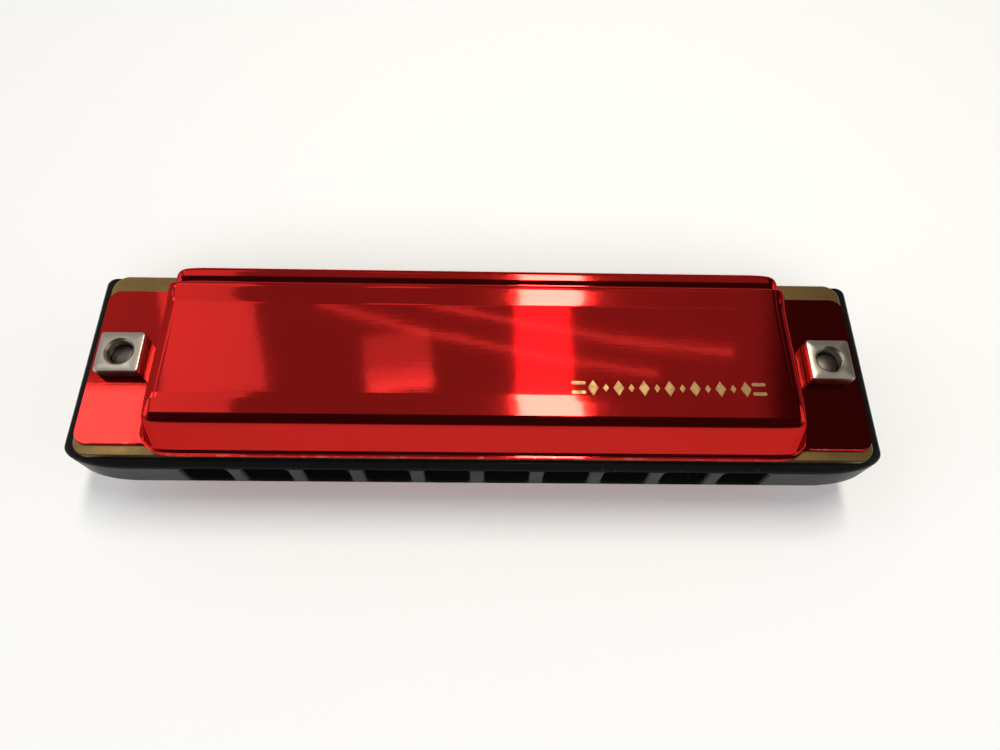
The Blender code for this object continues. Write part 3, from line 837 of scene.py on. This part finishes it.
def make_cover(name, node, over):
    line = flowing(SECTION, 0.16)
    line[:, 1] = np.minimum(line[:, 1], COVER_HIGH.z)
    inner = moved_in(line, SHEET)
    places = flange_places(line)
    stations = cover_stations()
    flange = COVER_LOW.z
    outside = cover_rows(line, flange + SHEET, 0, places, stations)
    inside = cover_rows(inner, flange, 1, places, stations)
    sheet_wave(outside)
    rows, cols = outside.shape[:2]
    half_way = 0.5 * (outside + inside)
    front = half_way[:, 0] + LIP_BELLY * np.array([0.0, -1.0, 0.0])
    back = half_way[:, -1] + LIP_BELLY * np.array([0.0, 0.35, -0.6]) / 0.7
    verts = np.concatenate([outside.reshape(-1, 3), inside.reshape(-1, 3), front, back])
    at_out = lambda r, c: r * cols + c
    at_in = lambda r, c: rows * cols + r * cols + c
    at_front = lambda r: 2 * rows * cols + r
    at_back = lambda r: 2 * rows * cols + rows + r
    faces = []
    for r in range(rows - 1):
        for c in range(cols - 1):
            faces.append((at_out(r, c), at_out(r + 1, c), at_out(r + 1, c + 1), at_out(r, c + 1)))
            faces.append((at_in(r, c), at_in(r, c + 1), at_in(r + 1, c + 1), at_in(r + 1, c)))
        for c, lip in ((0, at_front), (cols - 1, at_back)):
            faces.append((at_out(r, c), lip(r), lip(r + 1), at_out(r + 1, c)))
            faces.append((lip(r), at_in(r, c), at_in(r + 1, c), lip(r + 1)))
    for r in (0, rows - 1):
        for c in range(cols - 1):
            faces.append((at_out(r, c), at_out(r, c + 1), at_in(r, c + 1), at_in(r, c)))
        faces.append((at_out(r, 0), at_in(r, 0), at_front(r)))
        faces.append((at_out(r, cols - 1), at_back(r), at_in(r, cols - 1)))
    if over:
        top = REST_PLANE + COVER_HIGH.z
        verts = verts * np.array([-1.0, 1.0, -1.0]) + np.array([0.0, 0.0, top])
    cover = piece(name, verts.tolist(), faces, RED, 42.0)
    rim = np.zeros(rows * cols).reshape(rows, cols)
    rim[[0, -1], :] = 1.0
    rim[:, [0, -1]] = 1.0
    rim[:, [1, -2]] = 0.8
    layer = cover.data.attributes.new("edge", "FLOAT", "POINT")
    flat_rim = np.concatenate([rim.ravel(), rim.ravel(), np.ones(2 * rows)])
    layer.data.foreach_set("value", flat_rim.astype(np.float32))
    low, high = low_high(node)
    drills = [
        upright_drill(s * BOLT_SPOT.x, BOLT_SPOT.y, BOLT_HOLE, low.z - 1, high.z + 1)
        for s in (-1, 1)
    ]
    cut(cover, *drills)
    soften(cover, 42.0)
    ride(cover, "cover_plating", node)


# ---------------------------------------------------------------- ornament
MARK_LOW_X = 11.2
MARK_HIGH_X = 34.6
MARK_Y = -5.4
LOZENGES = 13
LOZENGE_START = 2.6
LOZENGE_PITCH = 1.53
BAR_LENGTH = 1.7
BAR_LIFT = 0.62
BAR_HALF = 0.22
BAR_CORNER = 0.2
FOIL = 0.05
FOIL_SUNK = 0.02


def lay_on_panel(item):
    """Lifts a flat piece made at z = 0 onto the sloping panel, sunk by a hair."""
    run, drop = PANEL_BACK[0] - PANEL_FRONT[0], PANEL_BACK[1] - PANEL_FRONT[1]
    for v in item.data.vertices:
        level = PANEL_FRONT[1] + (v.co.y / MM - PANEL_FRONT[0]) * drop / run
        v.co.z += (level - FOIL_SUNK) * MM


def make_ornament():
    """A plain row of gold lozenges between two short bars, foiled on the panel."""
    sizes = {"Width": 0.70 * MM, "Tall": 1.6, "Foil": FOIL * MM, "Small": 0.55}
    s = Steps("lozenge_steps", sizes)
    g = s.given
    inner = s.math("MULTIPLY", g["Width"], 0.86)
    gem = s.node(
        "GeometryNodeMeshCone",
        {"Vertices": 4, "Radius Top": inner, "Radius Bottom": g["Width"], "Depth": g["Foil"]},
    )
    odd = s.math("MODULO", s.node("GeometryNodeInputIndex"), 2.0)
    wide = s.math("SUBTRACT", 1.0, s.math("MULTIPLY", odd, s.math("SUBTRACT", 1.0, g["Small"])))
    scale = s.node(
        "ShaderNodeCombineXYZ", {"X": wide, "Y": s.math("MULTIPLY", wide, g["Tall"]), "Z": 1.0}
    )
    s.finish(g["Geometry"], gem, GOLD, Scale=scale)
    first = MARK_LOW_X + LOZENGE_START
    spots = [(first + LOZENGE_PITCH * i, MARK_Y, 0.0) for i in range(LOZENGES)]
    lozenges = grow("panel_lozenges", s, {}, spots, 20.0)
    lay_on_panel(lozenges)
    ride(lozenges, "plate_brass")
    bars = []
    for x in (MARK_LOW_X, MARK_HIGH_X - BAR_LENGTH):
        for lift in (-BAR_LIFT, BAR_LIFT):
            y = MARK_Y + lift
            plan = rounded_box(x, x + BAR_LENGTH, y - BAR_HALF, y + BAR_HALF, BAR_CORNER, 4)
            bars.append([[(u, v, z) for u, v in plan] for z in (0.0, FOIL)])
    verts = [p for bar in bars for ring in bar for p in ring]
    count = len(bars[0][0])
    faces = []
    for i in range(len(bars)):
        faces += [tuple(v + 2 * count * i for v in face) for face in loops(count, 2)]
    both = piece("panel_bars", verts, faces, GOLD)
    lay_on_panel(both)
    ride(both, "plate_brass")


# ---------------------------------------------------------------- fasteners
NUT_ROUND = 0.28
NUT_EASE = 0.16
THREAD_PITCH = 0.5
THREAD_DEPTH = 0.16
BOLT_RADIUS = 1.5
BOLT_HEAD = 2.75


def squared(half, r, turns):
    """Square outline with rounded corners, a point at each of the turns."""
    points = []
    for a in turns:
        c, s = math.cos(a), math.sin(a)
        reach = half / max(abs(c), abs(s))
        x, y = c * reach, s * reach
        ex, ey = abs(x) - (half - r), abs(y) - (half - r)
        if ex > 0 and ey > 0:
            pull = r / math.hypot(ex, ey)
            if pull < 1.0:
                x = math.copysign(half - r + ex * pull, x)
                y = math.copysign(half - r + ey * pull, y)
        points.append((x, y))
    return points


def make_nut(side, sign):
    half = 0.5 * (NUT_HIGH.x - NUT_LOW.x)
    turns = np.linspace(0.0, 2.0 * math.pi, 96, endpoint=False)
    bore = BOLT_RADIUS + 0.06
    centre = Vector((sign * BOLT_SPOT.x, BOLT_SPOT.y, 0.0))
    rings = []
    low, high = NUT_LOW.z, NUT_HIGH.z
    for inset, z in ((0.08, low), (0.0, low + 0.08), (0.0, high - NUT_EASE),
                     (0.3 * NUT_EASE, high - 0.3 * NUT_EASE), (NUT_EASE, high)):
        ring = squared(half - inset, NUT_ROUND, turns)
        rings.append([(centre.x + x, centre.y + y, z) for x, y in ring])
    inner = [(bore + 0.34, high), (bore + 0.06, high - 0.26)]
    depth = high - 0.26 - low - 0.1
    count = 14
    for i in range(count + 1):
        inner.append((bore + 0.01, high - 0.27 - depth * i / count))
    inner.append((bore + 0.2, low))
    for level, (radius, z) in enumerate(inner):
        ring = []
        for a in turns:
            groove = 0.0
            if 1 < level < len(inner) - 1:
                phase = (z / THREAD_PITCH + a / (2 * math.pi)) % 1.0
                groove = THREAD_DEPTH * abs(2 * phase - 1)
            r = radius + groove
            ring.append((centre.x + r * math.cos(a), centre.y + r * math.sin(a), z))
        rings.append(ring)
    nut = stack(f"square_nut_{side}", rings, NICKEL, closed=True, angle=32.0)

    def rubbed(p):
        out = max(abs(p.x - centre.x), abs(p.y - centre.y)) / half
        return 0.8 * max(0.0, (out - 0.93) / 0.07) * max(0.0, 1.0 - (high - p.z) / 0.3)

    mark_edges(nut, rubbed)
    ride(nut, "fastener_steel", f"cover_nut_{side}")


def make_bolt(side, sign):
    centre = Vector((sign * BOLT_SPOT.x, BOLT_SPOT.y, 0.0))
    crown, end = BOLT_LOW.z, BOLT_HIGH.z
    under = REST_PLANE + COVER_HIGH.z - COVER_LOW.z - SHEET - FIT_GAP
    profile = []
    for i in range(9):
        a = 0.5 * math.pi * i / 8
        flat = 0.45 * BOLT_HEAD
        r = flat + (BOLT_HEAD - flat) * math.sin(a)
        profile.append((r, crown + 1.05 * (1.0 - math.cos(a))))
    profile.insert(0, (0.02, crown))
    profile += [(BOLT_HEAD, under - 0.1), (BOLT_HEAD - 0.1, under), (BOLT_RADIUS + 0.1, under)]
    shank = [(BOLT_RADIUS, under + 0.1 + 0.05 * i) for i in range(int((end - under - 0.4) / 0.05))]
    profile += shank + [(BOLT_RADIUS - 0.08, end - 0.12), (BOLT_RADIUS - 0.25, end), (0.02, end)]
    turns = np.linspace(0.0, 2.0 * math.pi, 36, endpoint=False)
    rings = []
    for radius, z in profile:
        ring = []
        for a in turns:
            r = radius
            if r == BOLT_RADIUS and z > under + 0.6:
                phase = (z / THREAD_PITCH + a / (2 * math.pi)) % 1.0
                r -= THREAD_DEPTH * abs(2 * phase - 1)
            ring.append((centre.x + r * math.cos(a), centre.y + r * math.sin(a), z))
        rings.append(ring)
    # the bolt's dark steel is partly painted shade for the nut's bore
    bolt = stack(f"cover_bolt_round_head_{side}", rings, STEEL_BORE_SHADE, angle=40.0)
    tools = []
    for wide_x, wide_y in ((1.35, 0.27), (0.27, 1.35)):
        ends = []
        for z, grow_by in ((crown - 0.5, 0.12), (crown + 0.05, 0.02), (crown + 1.0, -0.12)):
            plan = rounded_box(
                centre.x - wide_x - grow_by, centre.x + wide_x + grow_by,
                centre.y - wide_y - grow_by, centre.y + wide_y + grow_by, 0.08, 3,
            )
            ends.append([(u, v, z) for u, v in plan])
        tools.append(stack("recess", ends, None))
    for tool in tools:
        cut(bolt, tool)
    soften(bolt, 40.0)
    mark_edges(bolt, lambda p: 0.6 * max(0.0, 1.0 - abs(p.z - crown - 0.5) / 0.3))
    ride(bolt, "fastener_steel", f"cover_bolt_{side}")


# ---------------------------------------------------------------- build
make_comb()
make_plate("draw", DRAW_PLATE_LOW, DRAW_PLATE_HIGH)
make_plate("blow", BLOW_PLATE_LOW, BLOW_PLATE_HIGH)
for reed_side in ("draw", "blow"):
    for reed_number in NUMBERS:
        make_reed(reed_side, reed_number)
make_rivets()
make_nails()
make_cover("upper_cover_pressing", "upper_cover", False)
make_cover("lower_cover_pressing", "lower_cover", True)
make_ornament()
for fastener_side, fastener_sign in (("left", -1), ("right", 1)):
    make_nut(fastener_side, fastener_sign)
    make_bolt(fastener_side, fastener_sign)


# ---------------------------------------------------------------- studio
FLOOR_REACH = 3.0


def make_floor():
    """Flat sheet of paper under the instrument; its reach is in metres."""
    mesh = bpy.data.meshes.new("floor")
    level = REST_PLANE * MM
    signs = ((-1, -1), (1, -1), (1, 1), (-1, 1))
    corners = [(FLOOR_REACH * i, FLOOR_REACH * j, level) for i, j in signs]
    mesh.from_pydata(corners, [], [(0, 1, 2, 3)])
    floor = bpy.data.objects.new("floor", mesh)
    bpy.context.scene.collection.objects.link(floor)
    mesh.materials.append(pale_floor())


def soft_light(name, place, wide, tall, glow, colour=(1.0, 1.0, 1.0), turn=0.0, aim=None):
    """Rectangular light in millimetres, facing straight down unless it has an aim.

    The glow is its brightness as seen, and the turn is in degrees, seen from below.
    """
    data = bpy.data.lights.new(name, "AREA")
    data.shape = "RECTANGLE"
    data.size = wide * MM
    data.size_y = tall * MM
    data.energy = math.pi * data.size * data.size_y * glow
    data.color = colour
    light = bpy.data.objects.new(name, data)
    bpy.context.scene.collection.objects.link(light)
    light.location = Vector(place) * MM
    light.rotation_euler = (0.0, 0.0, math.radians(turn))
    if aim:
        toward = (Vector(aim) - Vector(place)).normalized()
        light.rotation_euler = toward.to_track_quat("-Z", "Y").to_euler()
    return light


def thin_lights(name, spots, height, wide, glow, colour):
    """A bent line of thin lights through (x, y) spots, all facing straight down."""
    for i, (a, b) in enumerate(zip(spots, spots[1:])):
        run = Vector(b) - Vector(a)
        middle = (Vector(a) + Vector(b)) / 2
        turn = math.degrees(math.atan2(run.y, run.x))
        soft_light(f"{name}_{i}", (*middle, height), run.length + 2, wide, glow, colour, turn)


class Room:
    """Plain room: dim behind the instrument, dark above and in front, pale where seen."""

    def __init__(self):
        world = bpy.data.worlds.new("room")
        bpy.context.scene.world = world
        world.use_nodes = True
        self.nodes = world.node_tree.nodes
        self.links = world.node_tree.links
        way = self.nodes.new("ShaderNodeTexCoord").outputs["Generated"]
        split = self.nodes.new("ShaderNodeSeparateXYZ")
        self.links.new(way, split.inputs[0])
        self.x, self.y, self.z = split.outputs

    def fade(self, value, start, end, low, high):
        made = self.nodes.new("ShaderNodeMapRange")
        made.interpolation_type = "SMOOTHSTEP"
        self.links.new(value, made.inputs["Value"])
        for label, number in (("From Min", start), ("From Max", end), ("To Min", low), ("To Max", high)):
            made.inputs[label].default_value = number
        return made.outputs["Result"]

    def math(self, operation, first, second):
        made = self.nodes.new("ShaderNodeMath")
        made.operation = operation
        for socket, value in zip(made.inputs, (first, second)):
            if isinstance(value, float):
                socket.default_value = value
            else:
                self.links.new(value, socket)
        return made.outputs[0]

    def glow(self, strength, colour):
        made = self.nodes.new("ShaderNodeBackground")
        made.inputs["Color"].default_value = (*colour, 1.0)
        self.links.new(strength, made.inputs["Strength"])
        return made.outputs[0]

    def finish(self):
        back = self.fade(self.y, -0.15, 0.05, 0.0, 1.0)
        behind = self.math("MULTIPLY", back, self.fade(self.x, 0.345, 0.385, 1.0, 0.0))
        front = self.fade(self.y, -0.8, -0.6, 1.0, 0.0)
        low = self.math("MULTIPLY", front, self.fade(self.z, 0.0, 0.1, 0.0, 1.0))
        above = self.math("MAXIMUM", low, self.fade(self.z, 0.35, 0.62, 0.0, 1.0))
        dark = self.math("MULTIPLY", above, self.math("SUBTRACT", 1.0, behind))
        edge = self.fade(self.x, -0.46, -0.32, 0.5, 0.3)
        lit = self.math("MULTIPLY", self.math("SUBTRACT", 1.0, dark), edge)
        dim = self.glow(self.math("ADD", lit, 0.045), (1.0, 0.97, 0.97))
        pale = self.glow(self.fade(self.z, -0.1, 0.3, 0.80, 0.92), (1.0, 1.0, 1.0))
        path = self.nodes.new("ShaderNodeLightPath")
        mix = self.nodes.new("ShaderNodeMixShader")
        self.links.new(path.outputs["Is Camera Ray"], mix.inputs["Fac"])
        self.links.new(dim, mix.inputs[1])
        self.links.new(pale, mix.inputs[2])
        self.links.new(mix.outputs[0], self.nodes["World Output"].inputs["Surface"])


CAMERA_TURNS = (-2.73, 64.63, 3.09)
CAMERA_AIM = (2.90, 0.86, 10.0)
CAMERA_DISTANCE = 99.1
CAMERA_LENS = 26.46


def make_camera():
    """Camera above the mouth side; its turns are azimuth, elevation and roll in degrees."""
    azimuth, elevation, roll = (math.radians(a) for a in CAMERA_TURNS)
    back = Vector((
        math.sin(azimuth) * math.cos(elevation),
        -math.cos(azimuth) * math.cos(elevation),
        math.sin(elevation),
    ))
    right = Vector((math.cos(azimuth), math.sin(azimuth), 0.0))
    up = back.cross(right)
    x_axis = math.cos(roll) * right + math.sin(roll) * up
    y_axis = -math.sin(roll) * right + math.cos(roll) * up
    data = bpy.data.cameras.new("camera")
    data.sensor_width = 36.0
    data.lens = CAMERA_LENS
    data.clip_start = 0.005
    camera = bpy.data.objects.new("camera", data)
    bpy.context.scene.collection.objects.link(camera)
    place = (Vector(CAMERA_AIM) + CAMERA_DISTANCE * back) * MM
    basis = [[x_axis[i], y_axis[i], back[i], place[i]] for i in range(3)] + [[0, 0, 0, 1]]
    camera.matrix_world = Matrix(basis)
    bpy.context.scene.camera = camera


# Spots of the lights over the panel, all near one height: a card and a lamp at the
# left end, a small card with a brighter edge, a red band crossed by a hot lamp, and
# two bent lines.
OVERHEAD = 420
LOW_BEND = ((-130, 277), (-49, 252), (46, 230), (128, 217))
HIGH_BEND = ((-50, 278), (46, 255), (118, 242), (186, 235))
WARM = (1.0, 0.97, 0.86)
COOL = (0.93, 0.97, 1.0)


def make_lights():
    soft_light("left_card", (-212, 257, OVERHEAD), 74, 131, 0.85, turn=17.0)
    soft_light("left_side_card", (-204, 87, OVERHEAD), 74, 215, 0.7)
    soft_light("left_lamp", (-286, 138, OVERHEAD), 88, 80, 4.0)
    soft_light("low_card", (-64, 228, OVERHEAD), 50, 52, 0.5, turn=8.0)
    soft_light("low_edge", (-62, 212, OVERHEAD - 2), 50, 22, 0.45, turn=8.0)
    soft_light("low_line", (-61, 206, OVERHEAD - 4), 44, 10, 0.6, turn=8.0)
    soft_light("band", (45, 245, OVERHEAD), 43, 100, 2.4, (1.0, 0.22, 0.4))
    soft_light("lamp", (45, 87, OVERHEAD), 43, 214, 34.0, WARM)
    soft_light("side_left", (-650, -120, OVERHEAD), 500, 420, 1.3, COOL, aim=(0, 0, 0))
    soft_light("side_right", (650, -120, OVERHEAD), 500, 420, 1.1, COOL, aim=(0, 0, 0))
    fill = soft_light("front_fill", (0, -420, 500), 500, 300, 3.6, (0.96, 0.98, 1.0), aim=(0, 0, 0))
    fill.visible_glossy = False
    thin_lights("low_bend", LOW_BEND, OVERHEAD - 6, 4.0, 1.2, (1.0, 0.95, 0.9))
    thin_lights("high_bend", HIGH_BEND, OVERHEAD - 8, 3.0, 1.7, (1.0, 1.0, 1.0))


make_floor()
Room().finish()
make_lights()
make_camera()
bpy.context.scene.view_settings.view_transform = "Standard"
